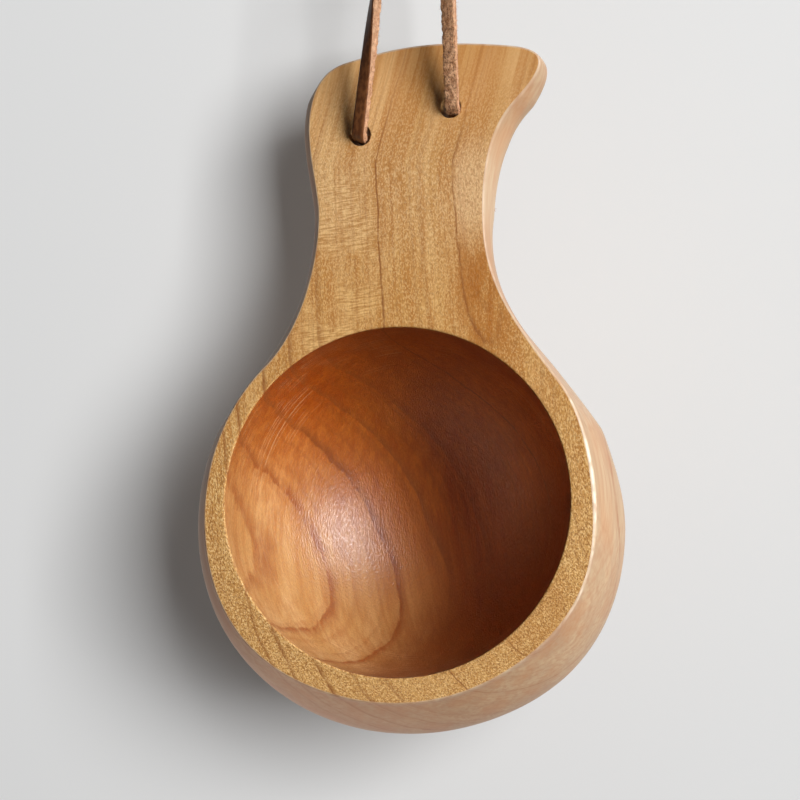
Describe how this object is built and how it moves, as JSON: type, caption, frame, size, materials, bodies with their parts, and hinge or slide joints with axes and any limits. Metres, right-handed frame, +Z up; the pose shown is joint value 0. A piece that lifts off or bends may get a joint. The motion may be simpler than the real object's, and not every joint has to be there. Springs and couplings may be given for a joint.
{
  "type": "carved wooden drinking cup",
  "caption": "Round drinking cup carved from one block of wood, with a flat hooked handle and a leather lace that loops through its lace holes to hang it up.",
  "frame": {"origin": "inside of the top of the lace loop, where a peg carries it", "axes": "+Z up, mouth towards -Y, +X to the right as seen from the front"},
  "size_m": [0.102, 0.0761, 0.1955],
  "materials": {
    "oiled_wood": "oiled satin",
    "lace_leather": "smooth on one side, rough on the other"
  },
  "bodies": {
    "lace": {"lace_loop": "lace_leather"},
    "cup": {"cup_body": "oiled_wood", "lace_left_end": "lace_leather", "lace_right_end": "lace_leather"}
  },
  "joints": [
    {"name": "cup_swing", "type": "hinge", "parent": "lace", "child": "cup", "pos_m": [-0.0048, 0, -0.048], "axis": [-0.9646, -0.0885, -0.2486], "range_deg": [-15, 70]}
  ]
}
